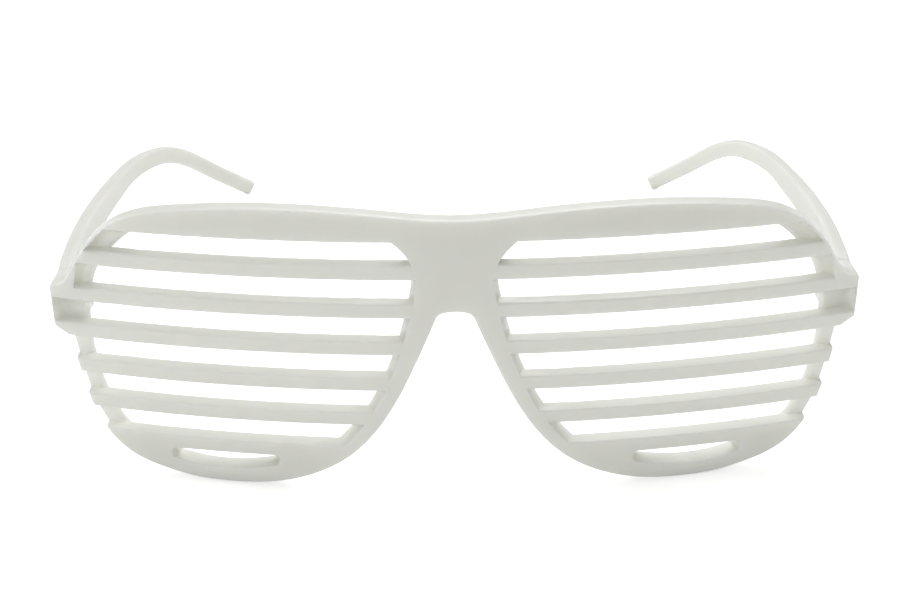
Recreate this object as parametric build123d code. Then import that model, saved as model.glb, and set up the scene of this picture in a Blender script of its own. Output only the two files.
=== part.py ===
from build123d import *
import math
import os

# Slatted novelty glasses, in millimetres.
# X runs to the wearer's left, Y runs back from the face of the glasses, Z runs up.
# The front is drawn upright with its foremost point at zero. At the end everything
# leans back together, until lower rims and temple tips stand on one level.

# One overrun for all cuts, and how far an edge round reaches past the face it rounds
overrun = 3.0
edge_touch = 0.01

# Curved plate of the front
wrap_radius = 222.5
drop_radius = 179.0
plate_depth = 4.2
wrap_angle = 22.0
outline_front_round = 0.75
outline_back_round = 0.7
root_share = 0.74

# Slats, the slots between them and the grooves that carry the slots across the rims
slat_count = 5
slat_pitch = 7.13
slat_height = 2.77
first_slat_top = 14.3
brow_bottom = 18.35
slat_front_round = 0.5
slat_back_round = 1.2
groove_depth = 2.75
groove_step_round = 1.1
shoulder_wall = 0.5
end_wall = 0.6
groove_end_round = 1.6
shoulder_slots = 2

# Outline of the front. A share is taken of the neck's distance from the middle, and
# of the height between two named levels.
brow_middle_height = 22.3
brow_peak_height = 24.05
rim_bottom_height = -30.9
nose_top_height = 5.5
end_top = 7.2
neck_half = 72.2
brow_shares = [(0.194, 0.95), (0.443, 1.0), (0.693, 0.938), (0.8435, 0.783),
               (0.927, 0.484), (0.9735, 0.184)]
rim_shares = [(0.9825, 0.083), (0.972, 0.218), (0.918, 0.654), (0.845, 0.854),
              (0.73, 0.961), (0.589, 1.0)]
nose_shares = [(0.418, 0.959), (0.288, 0.832), (0.182, 0.596), (0.1025, 0.289), (0.051, 0.05)]

# End piece, where the rim turns back to the hinge
end_outer_half = 74.8
end_low_half, end_low_height = 74.35, -1.2
foot_half, foot_height = 71.4, -2.9
end_corner_round = 0.8
neck_round = 3.0
return_inner_half = 72.2
return_back = 20.8
return_edge_round = 0.3

# Opening of each eye, where it leaves the back of the plate. A share is taken of the
# neck's distance from the middle, and of the height of all slots from the lowest.
eye_inner_shares = [(0.1856, 1.035), (0.1454, 0.975), (0.115, 0.899), (0.1066, 0.796),
                    (0.115, 0.711), (0.1385, 0.537), (0.1731, 0.354), (0.2202, 0.172),
                    (0.2909, -0.004), (0.313, -0.052)]
eye_outer_shares = [(0.8338, -0.052), (0.8643, 0.004), (0.9114, 0.175), (0.9349, 0.361),
                    (0.9404, 0.537), (0.9266, 0.713), (0.9086, 0.794), (0.8645, 0.894),
                    (0.8185, 0.967), (0.7555, 1.035)]
eye_draft = 12.0
groove_start_share = 0.72
shoulder_start_share = 0.5

# Crescent slot in each lower rim
crescent_inner_half = 34.2
crescent_outer_half = 53.1
crescent_side_height = 2.3
crescent_middle_height = 3.65
crescent_round = 0.8
crescent_draft = 13.0

# Hinge of each temple: two knuckles on the front, one tongue on the temple
knuckle_radius = 1.7
lower_knuckle_bottom = 0.0
lower_knuckle_height = 2.0
tongue_height = 2.1
upper_knuckle_height = 1.6
hinge_gap = 0.25
screw_radius = 0.8
screw_clearance = 0.05
screw_head_radius = 1.4
screw_head_height = 0.8
screw_slot_width = 0.5
screw_slot_depth = 0.4
screw_end_gap = 0.3

# Temples: the top line runs back, then bends down and in behind the ear
joint_gap = 0.3
temple_width = 2.6
temple_front_height = 9.0
temple_bend_height = 4.1
temple_end_height = 3.6
temple_edge_round = 0.7
temple_tip_round = 0.6
temple_slope = 0.067
temple_arm_length = 103.0
temple_bend_radius = 18.0
temple_bend_angle = 47.0
temple_end_length = 10.7
temple_flare = 0.145
temple_bow_length = 408.0
temple_tuck_start = 87.8
temple_tuck_length = 39.8
first_station_share = 0.05
arm_stations = 8
bend_stations = 7
lean_attempts = 4
halvings = 40

upright_axis = Axis((0, wrap_radius, 0), (0, 0, 1))
hinge_half = return_inner_half - knuckle_radius - joint_gap
stack_bottom = first_slat_top - slat_count * slat_pitch
stack_height = brow_bottom - stack_bottom


def face_y(height, depth=0):
    # How far the front face, or a face some depth behind it, is set back in the middle
    return drop_radius - math.sqrt((drop_radius - depth) ** 2 - height ** 2)


def front_at(half, height):
    reach = wrap_radius - face_y(height)
    return wrap_radius - math.sqrt(reach ** 2 - half ** 2)


def wrapped(edges):
    # Carries a section of the middle round the upright axis behind it, both ways
    section = make_face([Plane.YZ * edge for edge in edges])
    turned = section.rotate(upright_axis, -wrap_angle)
    return revolve(turned, upright_axis, wrap_angle + wrap_angle)


def shell(front_depth, back_depth, front_reach=0):
    # Part of the plate between two depths, or from clear in front of it
    low = rim_bottom_height - overrun
    high = brow_peak_height + overrun
    front_low = face_y(low, front_depth) - front_reach
    front_high = face_y(high, front_depth) - front_reach
    front = ThreePointArc((front_low, low), (front_depth - front_reach, 0), (front_high, high))
    back = ThreePointArc((face_y(high, back_depth), high), (back_depth, 0),
                         (face_y(low, back_depth), low))
    return wrapped([front, Line(front @ 1, back @ 0), back, Line(back @ 1, front @ 0)])


def placed(shares, level, height):
    return [(neck_half * across, level + height * up) for across, up in shares]


def brow_line():
    # Upper outline from the middle to the start of the neck
    brow = placed(brow_shares, end_top, brow_peak_height - end_top)
    neck_run = (neck_half - brow[-1][0], end_top - brow[-1][1])
    return Spline((0, brow_middle_height), *brow, tangents=[(1, 0), neck_run])


def shoulder_half(height):
    # How far the outline of the shoulder is from the middle at a height
    line = brow_line()
    near, far = shoulder_start_share, 1
    for attempt in range(halvings):
        middle = (near + far) / 2
        if (line @ middle).Y > height:
            near = middle
        else:
            far = middle
    return (line @ far).X


def outline():
    # Closed outline of the front, drawn on the middle plane and mirrored
    top = brow_line()
    last = tuple(top @ 1)[:2]
    neck = (neck_half, end_top)
    foot = (foot_half, foot_height)
    rim = placed(rim_shares, foot_height, rim_bottom_height - foot_height)
    nose = placed(nose_shares, nose_top_height, rim_bottom_height - nose_top_height)
    rim_run = (rim[0][0] - foot[0], rim[0][1] - foot[1])
    rounds = [neck_round, end_corner_round, end_corner_round, end_corner_round]
    corners = FilletPolyline(last, neck, (end_outer_half, end_top), (end_low_half, end_low_height),
                             foot, rim[0], radius=rounds)
    side = Spline(*rim, tangents=[rim_run, (-1, 0)])
    notch = Spline(rim[-1], *nose, (0, nose_top_height), tangents=[(-1, 0), (-1, 0)])
    half = [top, *corners.edges(), side, notch]
    edges = [edge for line in half for edge in line.edges()]
    mirrored = [edge.mirror(Plane.YZ) for edge in edges]
    return make_face([Plane.XZ * edge for edge in edges + mirrored])


def plate():
    body = extrude(outline(), wrap_radius, both=True) & shell(0, plate_depth)
    body = body.solid()
    wide = body.faces().sort_by(SortBy.AREA)[-2:].sort_by(Axis.Y)
    body = fillet(wide[0].edges(), outline_front_round)
    wide = body.faces().sort_by(SortBy.AREA)[-2:].sort_by(Axis.Y)
    return fillet(wide[1].edges(), outline_back_round)


def eye_face(set_back):
    # Opening of one eye at a distance behind the front, narrower behind on the nose side
    shift = (set_back - plate_depth) * math.tan(math.radians(eye_draft))
    inner = placed(eye_inner_shares, stack_bottom, stack_height)
    inner = [(half + shift, height) for half, height in inner]
    outer = placed(eye_outer_shares, stack_bottom, stack_height)
    walls = [Spline(*inner), Line(inner[-1], outer[0]), Spline(*outer), Line(outer[-1], inner[0])]
    plane = Plane(origin=(0, set_back, 0), x_dir=(1, 0, 0), z_dir=(0, -1, 0))
    return make_face([plane * edge for edge in walls])


def slot_ring(low, high):
    # Space between two bars with rounded edges, carried round the curve of the front
    under = low - slat_front_round
    over = high + slat_front_round
    deep_under = low - slat_back_round
    deep_over = high + slat_back_round
    far = plate_depth + overrun
    front_low = TangentArc((face_y(low) + slat_front_round, low),
                           (face_y(under) - edge_touch, under), tangent=(-1, 0))
    front_high = TangentArc((face_y(high) + slat_front_round, high),
                            (face_y(over) - edge_touch, over), tangent=(-1, 0))
    back_low = TangentArc((face_y(low, plate_depth) - slat_back_round, low),
                          (face_y(deep_under, plate_depth) + edge_touch, deep_under),
                          tangent=(1, 0))
    back_high = TangentArc((face_y(high, plate_depth) - slat_back_round, high),
                           (face_y(deep_over, plate_depth) + edge_touch, deep_over),
                           tangent=(1, 0))
    rest = [Polyline(front_low @ 1, (-overrun, under), (-overrun, over), front_high @ 1),
            Line(front_high @ 0, back_high @ 0),
            Polyline(back_high @ 1, (far, deep_over), (far, deep_under), back_low @ 1),
            Line(back_low @ 0, front_low @ 0)]
    edges = [edge for line in rest for edge in line.edges()]
    return wrapped([front_low, front_high, back_low, back_high] + edges)


def block(half_low, half_high, y_low, y_high, z_low, z_high):
    size = (half_high - half_low, y_high - y_low, z_high - z_low)
    return Pos(half_low, y_low, z_low) * Box(*size, align=(Align.MIN, Align.MIN, Align.MIN))


def groove_limit(index, low, high):
    # Where the groove of a slot stops on its way out across the rim: the two upper ones
    # leave a wall along the shoulder, the third one a wall at the side of the end piece
    start = neck_half * groove_start_share
    far = wrap_radius
    under = low - slat_back_round
    over = high + slat_back_round
    outer_low = outer_high = end_outer_half + overrun
    if index < shoulder_slots:
        wide = shoulder_half(max(low, end_top)) - shoulder_wall
        narrow = shoulder_half(high) - shoulder_wall
        slope = (wide - narrow) / (high - low)
        outer_low = wide + slope * (low - under)
        outer_high = narrow - slope * (over - high)
    if index == shoulder_slots:
        outer_low = outer_high = end_outer_half - end_wall
    corners = [(start, 0, under), (start, 0, over), (outer_high, 0, over), (outer_low, 0, under)]
    return extrude(make_face(Polyline(*corners, close=True)), far, both=True)


def crescent(set_back):
    # Slot through the lower rim at a distance behind the front, shorter behind
    grow = (plate_depth - set_back) * math.tan(math.radians(crescent_draft))
    top = stack_bottom - slat_height
    inner = crescent_inner_half - grow
    outer = crescent_outer_half + grow
    side = top - crescent_side_height
    middle = ((inner + outer) / 2, top - crescent_middle_height)
    edges = [Polyline((inner, side), (inner, top), (outer, top), (outer, side)),
             ThreePointArc((outer, side), middle, (inner, side))]
    face = make_face(edges)
    face = fillet(face.vertices(), crescent_round)
    level = set_back + front_at((inner + outer) / 2, top)
    return Plane(origin=(0, level, 0), x_dir=(1, 0, 0), z_dir=(0, -1, 0)) * face


def eye_cutters():
    # Slots of one eye, the grooves that carry them across the rim, and the crescent slot
    window = loft([eye_face(-overrun), eye_face(front_at(neck_half, 0) + plate_depth + overrun)])
    groove = window + shell(0, groove_depth, overrun + overrun)
    step_half = placed(eye_outer_shares, stack_bottom, stack_height)[4][0]
    step = Vector(step_half, front_at(step_half, 0) + groove_depth, 0)
    groove = fillet(groove.edges().sort_by_distance(step)[0], groove_step_round)
    cutters = []
    for index in range(slat_count + 1):
        low = first_slat_top - index * slat_pitch
        high = low + slat_pitch - slat_height if index else brow_bottom
        run_out = groove & groove_limit(index, low, high)
        if index <= shoulder_slots:
            wall = run_out.faces().sort_by(Axis.X)[-1]
            run_out = fillet(wall.edges().sort_by(Axis.Y)[-1], groove_end_round)
        cutters.append(slot_ring(low, high) & (window + run_out))
    cutters.append(loft([crescent(-overrun), crescent(plate_depth + overrun)]))
    return cutters


def return_block():
    # End piece carried back from the plate to the joint
    foot_slope = (end_low_height - foot_height) / (end_low_half - foot_half)
    inner_low = end_low_height - (end_low_half - return_inner_half) * foot_slope
    neck = (return_inner_half, end_top)
    line = FilletPolyline(neck, (end_outer_half, end_top), (end_low_half, end_low_height),
                          (return_inner_half, inner_low), radius=end_corner_round)
    start = front_at(end_outer_half, 0) + plate_depth * root_share
    edges = [*line.edges(), Line((return_inner_half, inner_low), neck)]
    plane = Plane(origin=(0, return_back, 0), x_dir=(1, 0, 0), z_dir=(0, -1, 0))
    face = make_face([plane * edge for edge in edges])
    solid = extrude(face, return_back - start, dir=(0, -1, 0))
    return fillet(solid.faces().sort_by(Axis.Y)[-1].edges(), return_edge_round)


def knuckle(bottom, height, bore):
    root = front_at(hinge_half + knuckle_radius, 0) + plate_depth * root_share
    inside = (return_inner_half + end_outer_half) / 2
    arm = block(hinge_half - knuckle_radius, inside, root, return_back - return_edge_round,
                bottom, bottom + height)
    neck = block(hinge_half - knuckle_radius, hinge_half + knuckle_radius, root, return_back,
                 bottom, bottom + height)
    middle = Pos(hinge_half, return_back, bottom)
    barrel = middle * Cylinder(knuckle_radius, height, align=(Align.CENTER, Align.CENTER, Align.MIN))
    hole = middle * Cylinder(bore, height, align=(Align.CENTER, Align.CENTER, Align.MIN))
    return arm + neck + barrel, hole


def stack_levels():
    tongue = lower_knuckle_bottom + lower_knuckle_height + hinge_gap
    upper = tongue + tongue_height + hinge_gap
    return tongue, upper, upper + upper_knuckle_height


def front():
    # One half is cut and gets its end piece, then the other is its mirror image
    half_space = block(0, wrap_radius, -wrap_radius, wrap_radius, -wrap_radius, wrap_radius)
    body = plate() & half_space
    for cutter in eye_cutters():
        body = body - cutter
    tongue, upper, head = stack_levels()
    low_arm, low_hole = knuckle(lower_knuckle_bottom, lower_knuckle_height, screw_radius)
    high_arm, high_hole = knuckle(upper, upper_knuckle_height, screw_radius + screw_clearance)
    side = return_block() + low_arm + high_arm - low_hole - high_hole
    half = body + side
    return half + half.mirror(Plane.YZ)


def screw():
    tongue, upper, head = stack_levels()
    bottom = lower_knuckle_bottom + screw_end_gap
    base = (Align.CENTER, Align.CENTER, Align.MIN)
    shank = Pos(hinge_half, return_back, bottom) * Cylinder(screw_radius, head - bottom, align=base)
    cap = Pos(hinge_half, return_back, head) * Cylinder(screw_head_radius, screw_head_height, align=base)
    width = screw_slot_width / 2
    reach = screw_head_radius + overrun
    slot_bottom = head + screw_head_height - screw_slot_depth
    slot = block(hinge_half - width, hinge_half + width, return_back - reach, return_back + reach,
                 slot_bottom, slot_bottom + overrun)
    return shank + cap - slot


def temple_point(run):
    # Point of the top line of a temple after a run along it, and its heading there
    bend = math.radians(temple_bend_angle)
    bend_run = temple_bend_radius * bend
    past = run - temple_arm_length
    turned = min(max(past / temple_bend_radius, 0), bend)
    straight = min(run, temple_arm_length)
    ahead = straight + temple_bend_radius * math.sin(turned)
    down = temple_bend_radius * (1 - math.cos(turned))
    extra = max(past - bend_run, 0)
    ahead += extra * math.cos(bend)
    down += extra * math.sin(bend)
    slope = turned + temple_slope
    y = ahead * math.cos(temple_slope) - down * math.sin(temple_slope)
    z = -ahead * math.sin(temple_slope) - down * math.cos(temple_slope)
    tuck = max(run - temple_tuck_start, 0)
    bow = run ** 2 / (2 * temple_bow_length) + tuck ** 2 / (2 * temple_tuck_length)
    half = temple_flare * run - bow
    sideways = temple_flare - run / temple_bow_length - tuck / temple_tuck_length
    start = return_inner_half + temple_width / 2
    point = Vector(start + half, return_back + joint_gap + y, end_top + z)
    heading = Vector(sideways, math.cos(slope), -math.sin(slope)).normalized()
    return point, heading


def temple():
    # Rounded sections along the top line, and the tongue of the hinge at its start
    left = temple_bend_radius * math.radians(temple_bend_angle) + temple_end_length
    runs = [0, temple_arm_length * first_station_share]
    runs += [temple_arm_length * step / arm_stations for step in range(1, arm_stations)]
    runs += [temple_arm_length + left * step / bend_stations for step in range(bend_stations + 1)]
    sections = []
    for run in runs:
        point, heading = temple_point(run)
        if run == 0:
            heading = Vector(0, 1, 0)
        across = heading.cross(Vector(0, 0, 1)).normalized()
        up = across.cross(heading)
        height = temple_front_height + (temple_bend_height - temple_front_height) * run / temple_arm_length
        if run > temple_arm_length:
            past = run - temple_arm_length
            height = temple_bend_height + (temple_end_height - temple_bend_height) * past / left
        plane = Plane(origin=point - up * height / 2, x_dir=across, z_dir=heading)
        sections.append(plane * RectangleRounded(temple_width, height, temple_edge_round))
    body = loft(sections)
    tip = body.faces().sort_by_distance(sections[-1].center())[0]
    body = fillet(tip.edges(), temple_tip_round)
    tongue, upper, head = stack_levels()
    middle = Pos(hinge_half, return_back, tongue)
    base = (Align.CENTER, Align.CENTER, Align.MIN)
    barrel = middle * Cylinder(knuckle_radius, tongue_height, align=base)
    hole = middle * Cylinder(screw_radius + screw_clearance, tongue_height, align=base)
    inside = return_inner_half + temple_width / 2
    web = block(hinge_half, inside, return_back + joint_gap, return_back + knuckle_radius,
                tongue, tongue + tongue_height)
    return body + (barrel + web - hole)


def leaned(shape, lean):
    return shape.rotate(Axis.X, -lean)


def lean_angle(front_body, temple_body):
    # Lean at which the lower rims and the temple tips stand on one level
    span = temple_body.bounding_box().max.Y
    lean = 0
    for attempt in range(lean_attempts):
        front_low = leaned(front_body, lean).bounding_box().min.Z
        temple_low = leaned(temple_body, lean).bounding_box().min.Z
        lean += math.degrees(math.atan((temple_low - front_low) / span))
    return lean


os.makedirs("parts", exist_ok=True)
front_body = front()
left = temple()
pieces = {
    "front": front_body,
    "left_temple": left,
    "right_temple": left.mirror(Plane.YZ),
    "hinge_screws": Compound([screw(), screw().mirror(Plane.YZ)]),
}
lean = lean_angle(front_body, left)
pieces = {name: leaned(piece, lean) for name, piece in pieces.items()}
boxes = [piece.bounding_box() for piece in pieces.values()]
low_y = min(box.min.Y for box in boxes)
high_y = max(box.max.Y for box in boxes)
low_z = min(box.min.Z for box in boxes)
move = Pos(0, -(low_y + high_y) / 2, -low_z)
for name, piece in pieces.items():
    export_step(move * piece, "parts/" + name + ".step")
hinge_point = move * leaned(Vertex(hinge_half, return_back, lower_knuckle_bottom), lean)
print("lean", lean, "move", move.position, "hinge", hinge_point.center())
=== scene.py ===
import bmesh
import bpy
import math
import numpy as np
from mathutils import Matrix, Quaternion, Vector


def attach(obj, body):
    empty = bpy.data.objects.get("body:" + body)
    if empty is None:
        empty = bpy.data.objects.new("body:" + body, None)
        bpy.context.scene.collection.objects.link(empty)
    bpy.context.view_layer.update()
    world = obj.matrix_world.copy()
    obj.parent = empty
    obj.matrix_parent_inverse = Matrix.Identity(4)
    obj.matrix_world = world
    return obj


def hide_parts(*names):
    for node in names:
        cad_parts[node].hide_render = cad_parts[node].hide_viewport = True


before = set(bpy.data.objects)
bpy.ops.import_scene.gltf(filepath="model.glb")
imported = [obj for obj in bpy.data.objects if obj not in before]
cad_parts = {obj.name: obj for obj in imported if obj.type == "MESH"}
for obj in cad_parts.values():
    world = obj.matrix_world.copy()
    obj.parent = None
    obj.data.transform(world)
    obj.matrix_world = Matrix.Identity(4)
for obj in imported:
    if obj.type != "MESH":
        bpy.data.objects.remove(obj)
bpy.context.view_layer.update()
print("frame loaded, nodes:", sorted(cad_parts))

# What the camera and the lamps are set to, in metres, degrees, millimetres of lens and watts
shot = {
    "eye": (-0.0014873, -0.3374042, 0.1778002),
    "lookAt": (-0.00093, -0.0884673, 0.0496193),
    "roll": -0.6406,
    "lens": 68.077,
    "sensorWidth": 36.0,
    "clipNear": 0.01,
    "clipFar": 20.0,
}
lamps = {
    "key": {"place": (-0.2, -1.0, 0.50), "size": 0.6, "power": 3.25},
    "above": {"place": (0.0, 0.3, 0.95), "size": 0.7, "power": 2.4},
    "back": {"place": (0.1, 0.75, 0.75), "size": 0.8, "power": 4.4},
    "left": {"place": (-0.9, 0.1, 0.4), "size": 0.7, "power": 3.2},
    "right": {"place": (0.9, 0.1, 0.4), "size": 0.7, "power": 2.0},
}
lampTarget = (0, 0, 0.02)
ambientLevel = 0.25
floorLook = {"halfSize": 4.0, "tone": (0.9, 0.9, 0.9, 1.0), "roughness": 0.9, "glow": 0.5}


def addNode(tree, kind, place, **settings):
    node = tree.nodes.new(kind)
    node.location = place
    for name, value in settings.items():
        setattr(node, name, value)
    return node


def link(tree, source, target):
    tree.links.new(source, target)


# Mould skin: faint cloudiness, fine orange peel and sparse dust specks, each a mask or a height.
# A speck is a cell of the mosaic whose own random value passes the rarity, close to its middle.
skinSizes = {
    "Cloud Size": 60.0,
    "Peel Size": 900.0,
    "Speck Size": 140.0,
    "Speck Limit": 0.028,
    "Rarity": 0.975,
}
cloudDetail = 3.0
peelDetail = 2.0


def makeSkinGroup():
    group = bpy.data.node_groups.new("mouldSkin", "ShaderNodeTree")
    for name, value in skinSizes.items():
        socket = group.interface.new_socket(name, in_out="INPUT", socket_type="NodeSocketFloat")
        socket.default_value = value
    for name in ("Cloud", "Peel", "Speck"):
        group.interface.new_socket(name, in_out="OUTPUT", socket_type="NodeSocketFloat")
    start = addNode(group, "NodeGroupInput", (-700, 0))
    end = addNode(group, "NodeGroupOutput", (500, 0))
    coords = addNode(group, "ShaderNodeTexCoord", (-700, -250))
    cloud = addNode(group, "ShaderNodeTexNoise", (-300, 250))
    cloud.inputs["Detail"].default_value = cloudDetail
    peel = addNode(group, "ShaderNodeTexNoise", (-300, 0))
    peel.inputs["Detail"].default_value = peelDetail
    speck = addNode(group, "ShaderNodeTexVoronoi", (-300, -250))
    cut = addNode(group, "ShaderNodeMath", (50, -250), operation="LESS_THAN")
    rare = addNode(group, "ShaderNodeMath", (50, -450), operation="GREATER_THAN")
    both = addNode(group, "ShaderNodeMath", (250, -350), operation="MULTIPLY")
    cell = addNode(group, "ShaderNodeSeparateColor", (-120, -450))
    for node in (cloud, peel, speck):
        link(group, coords.outputs["Object"], node.inputs["Vector"])
    link(group, start.outputs["Cloud Size"], cloud.inputs["Scale"])
    link(group, start.outputs["Peel Size"], peel.inputs["Scale"])
    link(group, start.outputs["Speck Size"], speck.inputs["Scale"])
    link(group, speck.outputs["Distance"], cut.inputs[0])
    link(group, start.outputs["Speck Limit"], cut.inputs[1])
    link(group, cloud.outputs["Fac"], end.inputs["Cloud"])
    link(group, peel.outputs["Fac"], end.inputs["Peel"])
    link(group, speck.outputs["Color"], cell.inputs["Color"])
    link(group, cell.outputs["Red"], rare.inputs[0])
    link(group, start.outputs["Rarity"], rare.inputs[1])
    link(group, cut.outputs["Value"], both.inputs[0])
    link(group, rare.outputs["Value"], both.inputs[1])
    link(group, both.outputs["Value"], end.inputs["Speck"])
    return group


skinGroup = makeSkinGroup()

# Glossy off-white moulding, which light enters for a few millimetres
plasticLook = {
    "pale": (0.800, 0.806, 0.760, 1.0),
    "cloudy": (0.778, 0.784, 0.738, 1.0),
    "speck": (0.42, 0.40, 0.36, 1.0),
    "roughLow": 0.29,
    "roughHigh": 0.38,
    "peelHeight": 0.00002,
    "peelStrength": 0.35,
    "glowThrough": 0.8,
    "glowDepth": 0.003,
    "glowTint": (1.0, 0.97, 0.88),
    "coat": 0.15,
}


def makePlastic(name, look):
    material = bpy.data.materials.new(name)
    material.use_nodes = True
    tree = material.node_tree
    shader = tree.nodes["Principled BSDF"]
    skin = addNode(tree, "ShaderNodeGroup", (-900, 0), node_tree=skinGroup)
    colour = addNode(tree, "ShaderNodeMix", (-500, 200), data_type="RGBA")
    colour.inputs["A"].default_value = look["pale"]
    colour.inputs["B"].default_value = look["cloudy"]
    dusty = addNode(tree, "ShaderNodeMix", (-250, 200), data_type="RGBA")
    dusty.inputs["B"].default_value = look["speck"]
    rough = addNode(tree, "ShaderNodeMapRange", (-500, -50))
    rough.inputs["To Min"].default_value = look["roughLow"]
    rough.inputs["To Max"].default_value = look["roughHigh"]
    bump = addNode(tree, "ShaderNodeBump", (-250, -250))
    bump.inputs["Strength"].default_value = look["peelStrength"]
    bump.inputs["Distance"].default_value = look["peelHeight"]
    link(tree, skin.outputs["Cloud"], colour.inputs["Factor"])
    link(tree, colour.outputs["Result"], dusty.inputs["A"])
    link(tree, skin.outputs["Speck"], dusty.inputs["Factor"])
    link(tree, dusty.outputs["Result"], shader.inputs["Base Color"])
    link(tree, skin.outputs["Cloud"], rough.inputs["Value"])
    link(tree, rough.outputs["Result"], shader.inputs["Roughness"])
    link(tree, skin.outputs["Peel"], bump.inputs["Height"])
    link(tree, bump.outputs["Normal"], shader.inputs["Normal"])
    shader.inputs["Subsurface Weight"].default_value = look["glowThrough"]
    shader.inputs["Subsurface Scale"].default_value = look["glowDepth"]
    shader.inputs["Subsurface Radius"].default_value = look["glowTint"]
    shader.inputs["Coat Weight"].default_value = look["coat"]
    return material


whitePlastic = makePlastic("offWhitePlastic", plasticLook)

# Turned steel: fine rings round the screw, uneven brightness and roughness
steelLook = {
    "bright": (0.64, 0.64, 0.65, 1.0),
    "dull": (0.50, 0.50, 0.51, 1.0),
    "roughLow": 0.29,
    "roughHigh": 0.42,
    "turningPitch": 5200.0,
    "turningHeight": 0.000006,
    "turningStrength": 0.4,
    "turningWobble": 0.6,
    "cloudSize": 700.0,
}


def makeSteel(name, look):
    material = bpy.data.materials.new(name)
    material.use_nodes = True
    tree = material.node_tree
    shader = tree.nodes["Principled BSDF"]
    skin = addNode(tree, "ShaderNodeGroup", (-900, 100), node_tree=skinGroup)
    skin.inputs["Cloud Size"].default_value = look["cloudSize"]
    coords = addNode(tree, "ShaderNodeTexCoord", (-1100, -300))
    rings = addNode(tree, "ShaderNodeTexWave", (-800, -300), bands_direction="Z")
    rings.inputs["Scale"].default_value = look["turningPitch"]
    rings.inputs["Distortion"].default_value = look["turningWobble"]
    colour = addNode(tree, "ShaderNodeMix", (-500, 200), data_type="RGBA")
    colour.inputs["A"].default_value = look["bright"]
    colour.inputs["B"].default_value = look["dull"]
    rough = addNode(tree, "ShaderNodeMapRange", (-500, -50))
    rough.inputs["To Min"].default_value = look["roughLow"]
    rough.inputs["To Max"].default_value = look["roughHigh"]
    bump = addNode(tree, "ShaderNodeBump", (-250, -300))
    bump.inputs["Strength"].default_value = look["turningStrength"]
    bump.inputs["Distance"].default_value = look["turningHeight"]
    link(tree, coords.outputs["Object"], rings.inputs["Vector"])
    link(tree, skin.outputs["Cloud"], colour.inputs["Factor"])
    link(tree, colour.outputs["Result"], shader.inputs["Base Color"])
    link(tree, skin.outputs["Cloud"], rough.inputs["Value"])
    link(tree, rough.outputs["Result"], shader.inputs["Roughness"])
    link(tree, rings.outputs["Fac"], bump.inputs["Height"])
    link(tree, bump.outputs["Normal"], shader.inputs["Normal"])
    shader.inputs["Metallic"].default_value = 1.0
    return material


screwSteel = makeSteel("turnedSteel", steelLook)
print("plastic and steel made")

# Curved front: a ring of large radius whose section is an arc, leaned back about X
frontCurve = {
    "wrapRadius": 0.2225,
    "dropRadius": 0.179,
    "lean": 5.779489,
    "apex": (0.0, -0.0707493, 0.0318069),
    "nearlyFlush": 14.0,
    "roundedWithin": 50.0,
}
smoothTo = 32.0
weldGap = 2e-6
sliverLimit = 1e-7
largeFaceWeight = 60


# A CAD node's mesh with its seams closed, smooth but for its sharp edges
def weldedCopy(node, name, material):
    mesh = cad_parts[node].data.copy()
    mesh.name = name
    work = bmesh.new()
    work.from_mesh(mesh)
    bmesh.ops.remove_doubles(work, verts=work.verts, dist=weldGap)
    bmesh.ops.dissolve_degenerate(work, edges=work.edges, dist=sliverLimit)
    work.to_mesh(mesh)
    work.free()
    mesh.shade_smooth()
    mesh.set_sharp_from_angle(angle=math.radians(smoothTo))
    piece = bpy.data.objects.new(name, mesh)
    bpy.context.scene.collection.objects.link(piece)
    mesh.materials.clear()
    mesh.materials.append(material)
    # Large faces lead the shading of the small ones beside them, and the result is kept in the mesh
    leading = piece.modifiers.new("leading", "WEIGHTED_NORMAL")
    leading.mode = "FACE_AREA"
    leading.weight = largeFaceWeight
    leading.keep_sharp = True
    shaded = piece.evaluated_get(bpy.context.evaluated_depsgraph_get()).data
    normals = [tuple(n.vector) for n in shaded.corner_normals]
    piece.modifiers.remove(leading)
    mesh.normals_split_custom_set(normals)
    return piece


# Unit normals of the curved plate at many points: away from the middle of the drop arc,
# carried round the upright axis of the wrap
def plateNormals(points, curve):
    lean = math.radians(curve["lean"])
    c, s = math.cos(lean), math.sin(lean)
    local = points - np.array(curve["apex"])
    x = local[:, 0]
    y = local[:, 1] * c - local[:, 2] * s - curve["wrapRadius"]
    z = local[:, 1] * s + local[:, 2] * c
    reach = np.hypot(x, y)
    out = reach - (curve["wrapRadius"] - curve["dropRadius"])
    normal = np.stack([out * x / reach, out * y / reach, z], 1)
    normal /= np.linalg.norm(normal, axis=1)[:, None]
    ny, nz = normal[:, 1].copy(), normal[:, 2].copy()
    normal[:, 1] = ny * c + nz * s
    normal[:, 2] = -ny * s + nz * c
    return normal


# Triangles that lie along the plate take its true normals, and so do rounded edges where they meet it
def smoothPlate(mesh, curve):
    points = np.empty(len(mesh.vertices) * 3)
    mesh.vertices.foreach_get("co", points)
    points = points.reshape(-1, 3)
    plate = plateNormals(points, curve)
    corner = np.empty(len(mesh.loops), int)
    mesh.loops.foreach_get("vertex_index", corner)
    face = np.empty(len(mesh.polygons) * 3)
    mesh.polygons.foreach_get("normal", face)
    face = face.reshape(-1, 3)
    sides = np.empty(len(mesh.polygons), int)
    mesh.polygons.foreach_get("loop_total", sides)
    ofFace = np.repeat(np.arange(len(sides)), sides)
    current = np.array([tuple(n.vector) for n in mesh.corner_normals])
    along = np.einsum("ij,ij->i", face[ofFace], plate[corner])
    flush = np.abs(along) > math.cos(math.radians(curve["nearlyFlush"]))
    onPlate = np.zeros(len(points), bool)
    onPlate[corner[flush]] = True
    rounded = onPlate[corner] & (np.abs(along) > math.cos(math.radians(curve["roundedWithin"])))
    take = flush | rounded
    current[take] = plate[corner[take]] * np.sign(along[take])[:, None]
    mesh.normals_split_custom_set(current.tolist())
    return int(flush.sum())


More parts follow.
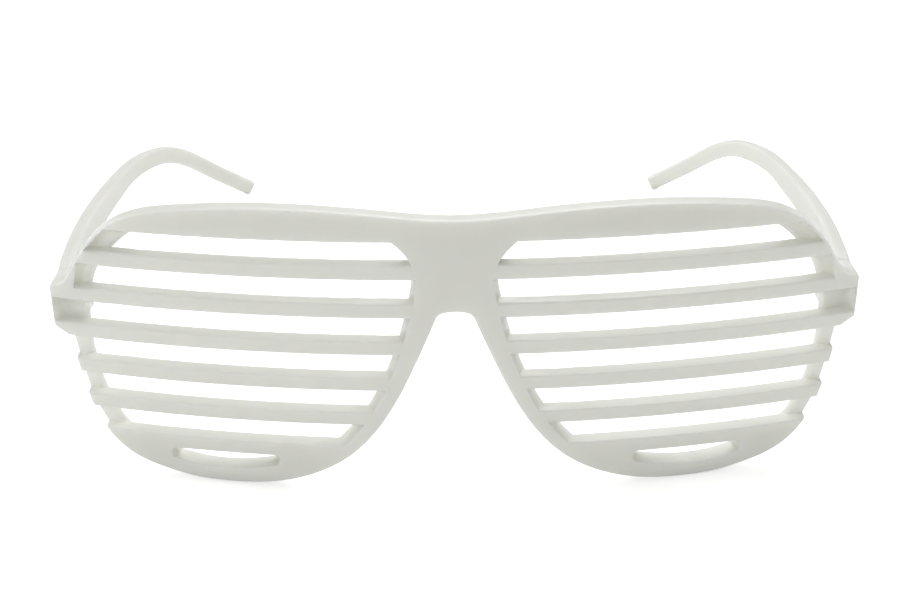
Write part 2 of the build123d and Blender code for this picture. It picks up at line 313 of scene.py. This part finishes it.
frontPiece = weldedCopy("front", "slatted_front", whitePlastic)
print("front corners along the plate:", smoothPlate(frontPiece.data, frontCurve))
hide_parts("front")
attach(frontPiece, "front")
for side in ("left", "right"):
    templePiece = weldedCopy(side + "_temple", side + "_temple_moulding", whitePlastic)
    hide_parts(side + "_temple")
    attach(templePiece, side + "_temple")
print("mouldings made")

# Both screws, with the sharp edges of head and slot just broken
screwEdge = {"width": 0.00006, "segments": 2}
screwPiece = weldedCopy("hinge_screws", "slotted_hinge_screws", screwSteel)
edgeBreak = screwPiece.modifiers.new("edgeBreak", "BEVEL")
edgeBreak.width = screwEdge["width"]
edgeBreak.segments = screwEdge["segments"]
edgeBreak.limit_method = "ANGLE"
edgeBreak.angle_limit = math.radians(smoothTo)
edgeBreak.harden_normals = True
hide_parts("hinge_screws")
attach(screwPiece, "front")
print("screws made")


# Plain floor that takes the shadow. Its glow, seen by the camera alone, lifts it to white.
def makeFloor():
    size = floorLook["halfSize"]
    mesh = bpy.data.meshes.new("paleFloor")
    corners = [(-size, -size, 0), (size, -size, 0), (size, size, 0), (-size, size, 0)]
    mesh.from_pydata(corners, [], [(0, 1, 2, 3)])
    floor = bpy.data.objects.new("paleFloor", mesh)
    bpy.context.scene.collection.objects.link(floor)
    material = bpy.data.materials.new("paleFloor")
    material.use_nodes = True
    tree = material.node_tree
    shader = tree.nodes["Principled BSDF"]
    shader.inputs["Base Color"].default_value = floorLook["tone"]
    shader.inputs["Roughness"].default_value = floorLook["roughness"]
    glow = addNode(tree, "ShaderNodeEmission", (0, -300))
    path = addNode(tree, "ShaderNodeLightPath", (-300, -300))
    scale = addNode(tree, "ShaderNodeMath", (-100, -300), operation="MULTIPLY")
    scale.inputs[1].default_value = floorLook["glow"]
    both = addNode(tree, "ShaderNodeAddShader", (300, 0))
    link(tree, path.outputs["Is Camera Ray"], scale.inputs[0])
    link(tree, scale.outputs["Value"], glow.inputs["Strength"])
    link(tree, shader.outputs["BSDF"], both.inputs[0])
    link(tree, glow.outputs["Emission"], both.inputs[1])
    link(tree, both.outputs["Shader"], tree.nodes["Material Output"].inputs["Surface"])
    mesh.materials.append(material)


# White background for the camera, and a low even light for the rest
def makeWorld():
    world = bpy.data.worlds.new("studio")
    bpy.context.scene.world = world
    world.use_nodes = True
    tree = world.node_tree
    back = tree.nodes["Background"]
    path = addNode(tree, "ShaderNodeLightPath", (-500, 0))
    level = addNode(tree, "ShaderNodeMapRange", (-250, 0))
    level.inputs["To Min"].default_value = ambientLevel
    level.inputs["To Max"].default_value = 1.0
    link(tree, path.outputs["Is Camera Ray"], level.inputs["Value"])
    link(tree, level.outputs["Result"], back.inputs["Strength"])
    back.inputs["Color"].default_value = (1.0, 1.0, 1.0, 1.0)


def makeLamp(name, lamp):
    light = bpy.data.lights.new(name, "AREA")
    light.energy = lamp["power"]
    light.shape = "DISK"
    light.size = lamp["size"]
    holder = bpy.data.objects.new(name, light)
    bpy.context.scene.collection.objects.link(holder)
    holder.location = lamp["place"]
    aim = Vector(lampTarget) - Vector(lamp["place"])
    holder.rotation_euler = aim.to_track_quat("-Z", "Y").to_euler()


def makeCamera():
    data = bpy.data.cameras.new("photoCamera")
    data.lens = shot["lens"]
    data.sensor_width = shot["sensorWidth"]
    data.sensor_fit = "HORIZONTAL"
    data.clip_start = shot["clipNear"]
    data.clip_end = shot["clipFar"]
    camera = bpy.data.objects.new("photoCamera", data)
    bpy.context.scene.collection.objects.link(camera)
    camera.location = shot["eye"]
    aim = Vector(shot["lookAt"]) - Vector(shot["eye"])
    turn = aim.to_track_quat("-Z", "Y") @ Quaternion((0, 0, 1), math.radians(shot["roll"]))
    camera.rotation_euler = turn.to_euler()
    bpy.context.scene.camera = camera


makeFloor()
makeWorld()
for name, lamp in lamps.items():
    makeLamp(name, lamp)
makeCamera()
bpy.context.scene.view_settings.view_transform = "Standard"
print("studio made")

bpy.context.view_layer.update()
